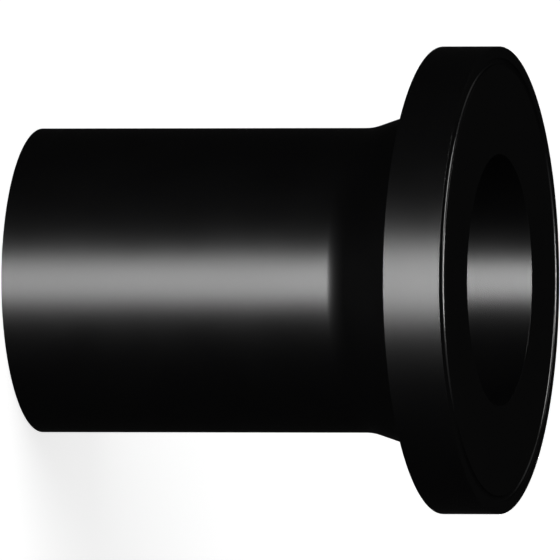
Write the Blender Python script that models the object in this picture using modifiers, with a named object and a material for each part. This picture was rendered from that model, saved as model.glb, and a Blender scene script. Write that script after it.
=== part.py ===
"""Lap joint stub end for a polyethylene pipe: plain spigot, flared neck and thick collar in one moulding.

The axis is +Z. The origin is the centre of the spigot's cut end, which the fitting stands on, and the sealing
face is on top. Metres throughout. Run with: blender --background --python part.py
"""

import math

import bpy

# Spigot: the pipe end that is butt welded to the line
SPIGOT_DIAMETER = 0.0900
WALL_THICKNESS = 0.0078
OVERALL_LENGTH = 0.1400

# Neck: the flare behind the collar, with a wide blend into the spigot and a small root radius at the collar
NECK_RISE = 0.0070
NECK_ANGLE = math.radians(18.5)
NECK_BLEND_RADIUS = 0.0170
NECK_ROOT_RADIUS = 0.0040

# Collar: its flat back face takes the loose backing ring and its front face takes the gasket
SHOULDER_WIDTH = 0.0170
COLLAR_THICKNESS = 0.0170

# Round-bottomed ring groove near the rim of the sealing face, measured from the rim to the groove's middle
GROOVE_INSET = 0.0044
GROOVE_WIDTH = 0.0021
GROOVE_DEPTH = 0.0008

# Every cut or machined edge is broken by a 45 degree chamfer of this size
EDGE_BREAK = 0.0003

# Fineness of the turned surface
TURN_STEPS = 96
BLEND_STEPS = 6
ROOT_STEPS = 6
GROOVE_STEPS = 8
MERGE_DISTANCE = 0.00001
SHARP_ANGLE = math.radians(25.0)

# Heights and radii that follow from the sizes above
SEALING_FACE_Z = OVERALL_LENGTH
COLLAR_BACK_Z = OVERALL_LENGTH - COLLAR_THICKNESS
SPIGOT_RADIUS = SPIGOT_DIAMETER / 2
BORE_RADIUS = SPIGOT_RADIUS - WALL_THICKNESS
NECK_RADIUS = SPIGOT_RADIUS + NECK_RISE
COLLAR_RADIUS = NECK_RADIUS + SHOULDER_WIDTH


def arc(centre, radius, start, end, steps):
    """Points (radius, height) along an arc about centre, from the start angle to the end angle."""
    angles = [start + (end - start) * i / steps for i in range(steps + 1)]
    return [(centre[0] + radius * math.cos(a), centre[1] + radius * math.sin(a)) for a in angles]


def sealing_groove():
    """Arc of the ring groove in the sealing face, from its inner lip to its outer lip."""
    middle = COLLAR_RADIUS - GROOVE_INSET
    radius = (GROOVE_WIDTH**2 / 4 + GROOVE_DEPTH**2) / (2 * GROOVE_DEPTH)
    centre = (middle, SEALING_FACE_Z - GROOVE_DEPTH + radius)
    lip = math.asin((radius - GROOVE_DEPTH) / radius)
    return arc(centre, radius, math.pi + lip, math.tau - lip, GROOVE_STEPS)


def collar_rim():
    """The collar's outer side, with its front and back edges broken."""
    return [
        (COLLAR_RADIUS - EDGE_BREAK, SEALING_FACE_Z),
        (COLLAR_RADIUS, SEALING_FACE_Z - EDGE_BREAK),
        (COLLAR_RADIUS, COLLAR_BACK_Z + EDGE_BREAK),
        (COLLAR_RADIUS - EDGE_BREAK, COLLAR_BACK_Z),
    ]


def neck():
    """From the collar's back face: root radius, straight flare, then the wide blend into the spigot."""
    sine, cosine = math.sin(NECK_ANGLE), math.cos(NECK_ANGLE)
    flare_end = math.pi - NECK_ANGLE

    # The root arc touches the collar's back face and the flare
    root_run = NECK_ROOT_RADIUS * (1 - sine) / cosine
    root_centre = (
        NECK_RADIUS - root_run * sine + NECK_ROOT_RADIUS * cosine,
        COLLAR_BACK_Z - NECK_ROOT_RADIUS,
    )
    root = arc(root_centre, NECK_ROOT_RADIUS, math.pi / 2, flare_end, ROOT_STEPS)

    # The blend arc touches the flare and the spigot's outer side
    blend_run = (NECK_RISE - NECK_BLEND_RADIUS * (1 - cosine)) / sine
    blend_centre = (
        SPIGOT_RADIUS + NECK_BLEND_RADIUS,
        COLLAR_BACK_Z - blend_run * cosine - NECK_BLEND_RADIUS * sine,
    )
    blend = arc(blend_centre, NECK_BLEND_RADIUS, flare_end, math.pi, BLEND_STEPS)
    return root + blend


def spigot_end():
    """The cut end that the fitting stands on, with both of its edges broken."""
    return [
        (SPIGOT_RADIUS, EDGE_BREAK),
        (SPIGOT_RADIUS - EDGE_BREAK, 0.0),
        (BORE_RADIUS + EDGE_BREAK, 0.0),
        (BORE_RADIUS, EDGE_BREAK),
    ]


def bore_mouth():
    """The bore's edge in the sealing face, reached from below up the straight bore."""
    return [
        (BORE_RADIUS, SEALING_FACE_Z - EDGE_BREAK),
        (BORE_RADIUS + EDGE_BREAK, SEALING_FACE_Z),
    ]


def stub_end_outline():
    """Half section as a closed loop: out across the sealing face, down the outside and up the bore."""
    return sealing_groove() + collar_rim() + neck() + spigot_end() + bore_mouth()


def turned_solid(name, outline, collection):
    """Turns a closed (radius, height) outline once round Z with a Screw modifier, with crisp edges kept."""
    count = len(outline)
    profile = bpy.data.meshes.new(name + "_profile")
    profile.from_pydata(
        [(radius, 0.0, height) for radius, height in outline],
        [(i, (i + 1) % count) for i in range(count)],
        [],
    )
    part = bpy.data.objects.new(name, profile)
    collection.objects.link(part)

    screw = part.modifiers.new("turn", "SCREW")
    screw.axis = "Z"
    screw.angle = math.tau
    screw.steps = TURN_STEPS
    screw.render_steps = TURN_STEPS
    screw.use_merge_vertices = True
    screw.merge_threshold = MERGE_DISTANCE

    evaluated = part.evaluated_get(bpy.context.evaluated_depsgraph_get())
    solid = bpy.data.meshes.new_from_object(evaluated)
    solid.name = name
    part.modifiers.clear()
    part.data = solid
    bpy.data.meshes.remove(profile)

    solid.shade_smooth()
    solid.set_sharp_from_angle(angle=SHARP_ANGLE)
    return part


def black_polyethylene():
    """Carbon-black pipe grade polyethylene: near black with a satin sheen."""
    material = bpy.data.materials.new("black_polyethylene")
    material.use_nodes = True
    shader = material.node_tree.nodes["Principled BSDF"]
    shader.inputs["Base Color"].default_value = (0.004, 0.004, 0.0045, 1.0)
    shader.inputs["Roughness"].default_value = 0.42
    shader.inputs["Metallic"].default_value = 0.0
    return material


def build():
    for old in list(bpy.data.objects):
        bpy.data.objects.remove(old, do_unlink=True)
    collection = bpy.data.collections.new("lap_joint_stub_end")
    bpy.context.scene.collection.children.link(collection)

    stub_end = turned_solid("stub_end", stub_end_outline(), collection)
    stub_end.data.materials.append(black_polyethylene())


build()
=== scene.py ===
import math

import bmesh
import bpy
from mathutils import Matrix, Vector


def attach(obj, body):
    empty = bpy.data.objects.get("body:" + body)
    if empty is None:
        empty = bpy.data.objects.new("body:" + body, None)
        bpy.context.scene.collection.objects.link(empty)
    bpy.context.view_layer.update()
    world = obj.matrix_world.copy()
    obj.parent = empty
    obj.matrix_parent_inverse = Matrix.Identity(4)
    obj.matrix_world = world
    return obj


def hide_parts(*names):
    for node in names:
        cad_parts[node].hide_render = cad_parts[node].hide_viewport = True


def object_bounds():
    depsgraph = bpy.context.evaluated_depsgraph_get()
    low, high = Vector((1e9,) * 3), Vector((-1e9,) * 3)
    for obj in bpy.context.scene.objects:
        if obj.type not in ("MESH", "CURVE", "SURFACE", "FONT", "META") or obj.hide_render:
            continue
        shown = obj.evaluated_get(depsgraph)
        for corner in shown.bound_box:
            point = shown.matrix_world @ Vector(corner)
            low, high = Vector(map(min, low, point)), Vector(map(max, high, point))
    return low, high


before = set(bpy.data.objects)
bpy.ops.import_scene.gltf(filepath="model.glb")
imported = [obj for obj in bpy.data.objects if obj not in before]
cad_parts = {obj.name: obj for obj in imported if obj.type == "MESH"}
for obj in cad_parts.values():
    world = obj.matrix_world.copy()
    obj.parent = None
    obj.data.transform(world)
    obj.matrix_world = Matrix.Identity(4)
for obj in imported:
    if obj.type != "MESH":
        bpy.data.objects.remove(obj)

cad_low, cad_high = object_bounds()
scene = bpy.context.scene


# Camera
# A long lens looks down on the standing fitting from the front. The picture shows the fitting lying across
# the frame, so the camera is rolled a quarter turn and the fitting's axis runs from left to right.
CAMERA_ELEVATION = math.radians(15.4)
CAMERA_LENS_MM = 1650
SENSOR_WIDTH_MM = 36
FRAME_WIDTH = 0.1655
AIM_HEIGHT = 0.0728
AIM_SIDE = -0.0001
CAMERA_REACH = 3

camera_distance = FRAME_WIDTH * CAMERA_LENS_MM / SENSOR_WIDTH_MM
camera_data = bpy.data.cameras.new("camera")
camera_data.lens = CAMERA_LENS_MM
camera_data.sensor_width = SENSOR_WIDTH_MM
camera_data.clip_end = CAMERA_REACH * camera_distance
camera = bpy.data.objects.new("camera", camera_data)
camera.rotation_mode = "ZYX"
camera.rotation_euler = (math.pi / 2 - CAMERA_ELEVATION, 0, math.pi / 2)
camera.location = (
    AIM_SIDE,
    -camera_distance * math.cos(CAMERA_ELEVATION),
    AIM_HEIGHT + camera_distance * math.sin(CAMERA_ELEVATION),
)
scene.collection.objects.link(camera)
scene.camera = camera
scene.view_settings.view_transform = "Standard"


# Studio floor
# A wide sheet of pale paper under the spigot end, which a glow lifts to white for the camera alone. It takes
# the fitting's soft shadow but casts none, so the low lamps shine through it, and the gloss doesn't see it.
FLOOR_SIZE = 40.0
FLOOR_PALE = (0.8, 0.8, 0.8, 1)
FLOOR_GLOW = 0.68

floor_mesh = bpy.data.meshes.new("floor")
shape = bmesh.new()
bmesh.ops.create_grid(shape, x_segments=1, y_segments=1, size=FLOOR_SIZE / 2)
shape.to_mesh(floor_mesh)
shape.free()
floor = bpy.data.objects.new("floor", floor_mesh)
scene.collection.objects.link(floor)
floor.visible_shadow = False
floor.visible_glossy = False

floor_paper = bpy.data.materials.new("floor_paper")
floor_paper.use_nodes = True
nodes, links = floor_paper.node_tree.nodes, floor_paper.node_tree.links
nodes.remove(nodes["Principled BSDF"])
rays = nodes.new("ShaderNodeLightPath")
paper = nodes.new("ShaderNodeBsdfDiffuse")
paper.inputs["Color"].default_value = FLOOR_PALE
glow = nodes.new("ShaderNodeEmission")
glow.inputs["Color"].default_value = (FLOOR_GLOW, FLOOR_GLOW, FLOOR_GLOW, 1)
glowing_paper = nodes.new("ShaderNodeAddShader")
links.new(rays.outputs["Is Camera Ray"], glow.inputs["Strength"])
links.new(paper.outputs["BSDF"], glowing_paper.inputs[0])
links.new(glow.outputs["Emission"], glowing_paper.inputs[1])
links.new(glowing_paper.outputs["Shader"], nodes["Material Output"].inputs["Surface"])
floor_mesh.materials.append(floor_paper)


# Studio surroundings
# White to the camera, and a soft even light on everything. The gloss sees only a dim room: the fitting has
# no metal or glass, and white all round would lay a grey veil over its near-black plastic.
ROOM_CAMERA = 1.0
ROOM_DIFFUSE = 0.20
ROOM_GLOSSY = 0.006

room = bpy.data.worlds.new("room")
room.use_nodes = True
scene.world = room
nodes, links = room.node_tree.nodes, room.node_tree.links
rays = nodes.new("ShaderNodeLightPath")
background = nodes["Background"]
background.inputs["Color"].default_value = (1, 1, 1, 1)
total = None
for ray, strength in (
    ("Is Camera Ray", ROOM_CAMERA),
    ("Is Diffuse Ray", ROOM_DIFFUSE),
    ("Is Glossy Ray", ROOM_GLOSSY),
):
    term = nodes.new("ShaderNodeMath")
    term.operation = "MULTIPLY_ADD"
    term.inputs[1].default_value = strength
    term.inputs[2].default_value = 0
    links.new(rays.outputs[ray], term.inputs[0])
    if total:
        links.new(total.outputs["Value"], term.inputs[2])
    total = term
links.new(total.outputs["Value"], background.inputs["Strength"])


# Studio lamps
# A broad soft lamp level with the fitting, under the camera, lays the one band along it. It casts no shadow,
# so the band shows in the bore too. The others light the back and the sides and lay the shadow on the floor.
def soft_lamp(name, azimuth, elevation, distance, width, height, irradiance):
    """Oval lamp aimed at the fitting's middle, with about this irradiance on a surface that faces it."""
    data = bpy.data.lights.new(name, "AREA")
    data.shape = "ELLIPSE"
    data.size = width
    data.size_y = height
    data.energy = irradiance * math.pi * distance**2
    lamp = bpy.data.objects.new(name, data)
    turn, rise = math.radians(azimuth), math.radians(elevation)
    away = Vector((math.sin(turn) * math.cos(rise), -math.cos(turn) * math.cos(rise), math.sin(rise)))
    lamp.location = Vector((0, 0, AIM_HEIGHT)) + away * distance
    lamp.rotation_mode = "QUATERNION"
    lamp.rotation_quaternion = away.to_track_quat("Z", "Y")
    lamp.visible_camera = False
    scene.collection.objects.link(lamp)
    return lamp


front_lamp = soft_lamp(
    "front_lamp", azimuth=0, elevation=1, distance=30, width=27.8, height=18.8, irradiance=3.3
)
front_lamp.data.use_shadow = False
front_lamp.data.cycles.use_multiple_importance_sampling = False
front_lamp.data.cycles.max_bounces = 0
soft_lamp("back_lamp", azimuth=180, elevation=-8, distance=2.5, width=1.2, height=0.22, irradiance=0.9)
soft_lamp("low_back_lamp", azimuth=180, elevation=-25, distance=2.5, width=1.2, height=0.44, irradiance=0.15)
soft_lamp("side_lamp", azimuth=-52, elevation=40, distance=2.5, width=2.5, height=0.8, irradiance=1.25)

# Dim panels that only the gloss sees. The sealing face mirrors them when it is seen from its sides and from
# above, and stays black in front of the camera.
gloss_panels = (
    soft_lamp("right_panel", azimuth=45, elevation=17, distance=2.5, width=2.0, height=0.8, irradiance=0.03),
    soft_lamp("left_panel", azimuth=238, elevation=29, distance=2.5, width=2.0, height=0.8, irradiance=0.033),
    soft_lamp("top_panel", azimuth=0, elevation=90, distance=1.5, width=1.8, height=1.8, irradiance=0.2),
)
for panel in gloss_panels:
    panel.visible_diffuse = False


# Stub end
# One moulding in carbon-black polyethylene: a plain spigot, a neck that flares into a thick collar, and a
# straight bore. Both ends are faced on a lathe, and the collar's sealing face has a narrow ring groove.
SPIGOT_RADIUS = 0.0450
BORE_RADIUS = 0.0372
COLLAR_THICKNESS = 0.0170
NECK_RISE = 0.0070
NECK_ANGLE = math.radians(18.5)
NECK_BLEND_RADIUS = 0.0170
NECK_ROOT_RADIUS = 0.0040
GROOVE_INSET = 0.0044
GROOVE_RADIUS = 0.00105
EDGE_ROUND = 0.00005
EDGE_ROUND_STEPS = 3
TURN_STEPS = 256
ARC_STEP = math.radians(3)
GROOVE_ARC_STEP = math.radians(9)
CORNER_ANGLE = math.radians(35)
MERGE_DISTANCE = 0.00001
FLAT_FACE_WEIGHT = 100

face_z = cad_high.z
back_z = face_z - COLLAR_THICKNESS
collar_radius = (cad_high.x - cad_low.x) / 2


def arc(centre, radius, start, end, step=ARC_STEP):
    """Points (radius, height) round an arc from the start angle to the end angle."""
    steps = math.ceil(abs(end - start) / step)
    angles = [start + (end - start) * i / steps for i in range(steps + 1)]
    return [(centre[0] + radius * math.cos(a), centre[1] + radius * math.sin(a)) for a in angles]


def neck_arcs():
    """Root radius under the collar, the straight flare, and the wide blend into the spigot."""
    sine, cosine = math.sin(NECK_ANGLE), math.cos(NECK_ANGLE)
    root_run = NECK_ROOT_RADIUS * (1 - sine) / cosine
    root_centre = (
        SPIGOT_RADIUS + NECK_RISE - root_run * sine + NECK_ROOT_RADIUS * cosine,
        back_z - NECK_ROOT_RADIUS,
    )
    blend_run = (NECK_RISE - NECK_BLEND_RADIUS * (1 - cosine)) / sine
    blend_centre = (
        SPIGOT_RADIUS + NECK_BLEND_RADIUS,
        back_z - blend_run * cosine - NECK_BLEND_RADIUS * sine,
    )
    flare_end = math.pi - NECK_ANGLE
    root = arc(root_centre, NECK_ROOT_RADIUS, math.pi / 2, flare_end)
    return root + arc(blend_centre, NECK_BLEND_RADIUS, flare_end, math.pi)


def turned_moulding(outline):
    """Spins a closed outline once round the fitting's axis and rounds its sharp edges."""
    shape = bmesh.new()
    ring = [shape.verts.new((radius, 0, height)) for radius, height in outline]
    edges = [shape.edges.new((a, b)) for a, b in zip(ring, ring[1:] + ring[:1])]
    bmesh.ops.spin(
        shape,
        geom=ring + edges,
        cent=(0, 0, 0),
        axis=(0, 0, 1),
        angle=math.tau,
        steps=TURN_STEPS,
        use_merge=True,
        use_duplicate=False,
    )
    bmesh.ops.remove_doubles(shape, verts=shape.verts, dist=MERGE_DISTANCE)
    bmesh.ops.recalc_face_normals(shape, faces=shape.faces)
    corners = [edge for edge in shape.edges if edge.calc_face_angle() > CORNER_ANGLE]
    bmesh.ops.bevel(
        shape,
        geom=corners,
        offset=EDGE_ROUND,
        offset_type="OFFSET",
        affect="EDGES",
        segments=EDGE_ROUND_STEPS,
        profile=0.5,
        material=-1,
    )
    mesh = bpy.data.meshes.new("stub_end_moulding")
    shape.to_mesh(mesh)
    shape.free()
    mesh.shade_smooth()
    return mesh


groove_middle = (collar_radius - GROOVE_INSET, face_z)
groove = arc(groove_middle, GROOVE_RADIUS, math.pi, math.tau, GROOVE_ARC_STEP)
rim = [(collar_radius, face_z), (collar_radius, back_z)]
cut_end = [(SPIGOT_RADIUS, cad_low.z), (BORE_RADIUS, cad_low.z)]
bore_mouth = [(BORE_RADIUS, face_z)]
moulding_mesh = turned_moulding(groove + rim + neck_arcs() + cut_end + bore_mouth)
moulding = bpy.data.objects.new("stub_end_moulding", moulding_mesh)
scene.collection.objects.link(moulding)
flats = moulding.modifiers.new("flat_faces_stay_flat", "WEIGHTED_NORMAL")
flats.weight = FLAT_FACE_WEIGHT

# Carbon-black polyethylene: near black, satin from the mould, with a fine grain and slightly uneven gloss.
# The two lathe-faced ends carry fine rings about the axis.
PLASTIC_DEEP = (0.0006, 0.0006, 0.0007, 1)
PLASTIC_LIFTED = (0.0012, 0.0012, 0.0013, 1)
PLASTIC_IOR = 1.51
GLOSS_STRENGTH = 1.0
GLOSS_SMOOTH = 0.23
GLOSS_DULL = 0.27
CLOUD_SIZE = 0.018
CLOUD_DETAIL = 4
GRAIN_SIZE = 0.0006
GRAIN_DETAIL = 2
GRAIN_HEIGHT = 0.0000012
LATHE_PITCH = 0.00028
LATHE_HEIGHT = 0.000004
FLAT_FACING = 0.999

plastic = bpy.data.materials.new("black_polyethylene")
plastic.use_nodes = True
nodes, links = plastic.node_tree.nodes, plastic.node_tree.links
shader = nodes["Principled BSDF"]
shader.inputs["Metallic"].default_value = 0
shader.inputs["IOR"].default_value = PLASTIC_IOR
shader.inputs["Specular IOR Level"].default_value = GLOSS_STRENGTH
place = nodes.new("ShaderNodeTexCoord")

clouds = nodes.new("ShaderNodeTexNoise")
clouds.inputs["Scale"].default_value = 1 / CLOUD_SIZE
clouds.inputs["Detail"].default_value = CLOUD_DETAIL
links.new(place.outputs["Object"], clouds.inputs["Vector"])

tint = nodes.new("ShaderNodeMix")
tint.data_type = "RGBA"
tint.inputs["A"].default_value = PLASTIC_DEEP
tint.inputs["B"].default_value = PLASTIC_LIFTED
links.new(clouds.outputs["Fac"], tint.inputs["Factor"])
links.new(tint.outputs["Result"], shader.inputs["Base Color"])

gloss = nodes.new("ShaderNodeMapRange")
gloss.inputs["To Min"].default_value = GLOSS_SMOOTH
gloss.inputs["To Max"].default_value = GLOSS_DULL
links.new(clouds.outputs["Fac"], gloss.inputs["Value"])
links.new(gloss.outputs["Result"], shader.inputs["Roughness"])

grain = nodes.new("ShaderNodeTexNoise")
grain.inputs["Scale"].default_value = 1 / GRAIN_SIZE
grain.inputs["Detail"].default_value = GRAIN_DETAIL
links.new(place.outputs["Object"], grain.inputs["Vector"])
grain_bump = nodes.new("ShaderNodeBump")
grain_bump.inputs["Distance"].default_value = GRAIN_HEIGHT
links.new(grain.outputs["Fac"], grain_bump.inputs["Height"])

# The lathe's rings show only on the faces that lie square to the axis. At a scale of 1 the wave repeats every
# WAVE_PITCH.
WAVE_PITCH = math.tau / 20

lathe = nodes.new("ShaderNodeTexWave")
lathe.wave_type = "RINGS"
lathe.rings_direction = "Z"
lathe.inputs["Scale"].default_value = WAVE_PITCH / LATHE_PITCH
links.new(place.outputs["Object"], lathe.inputs["Vector"])
facing = nodes.new("ShaderNodeSeparateXYZ")
links.new(place.outputs["Normal"], facing.inputs["Vector"])
along_axis = nodes.new("ShaderNodeMath")
along_axis.operation = "ABSOLUTE"
links.new(facing.outputs["Z"], along_axis.inputs[0])
faced = nodes.new("ShaderNodeMath")
faced.operation = "GREATER_THAN"
faced.inputs[1].default_value = FLAT_FACING
links.new(along_axis.outputs["Value"], faced.inputs[0])
lathe_bump = nodes.new("ShaderNodeBump")
lathe_bump.inputs["Distance"].default_value = LATHE_HEIGHT
links.new(faced.outputs["Value"], lathe_bump.inputs["Strength"])
links.new(lathe.outputs["Fac"], lathe_bump.inputs["Height"])
links.new(grain_bump.outputs["Normal"], lathe_bump.inputs["Normal"])
links.new(lathe_bump.outputs["Normal"], shader.inputs["Normal"])
moulding_mesh.materials.append(plastic)

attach(moulding, "root")
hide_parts("stub_end")
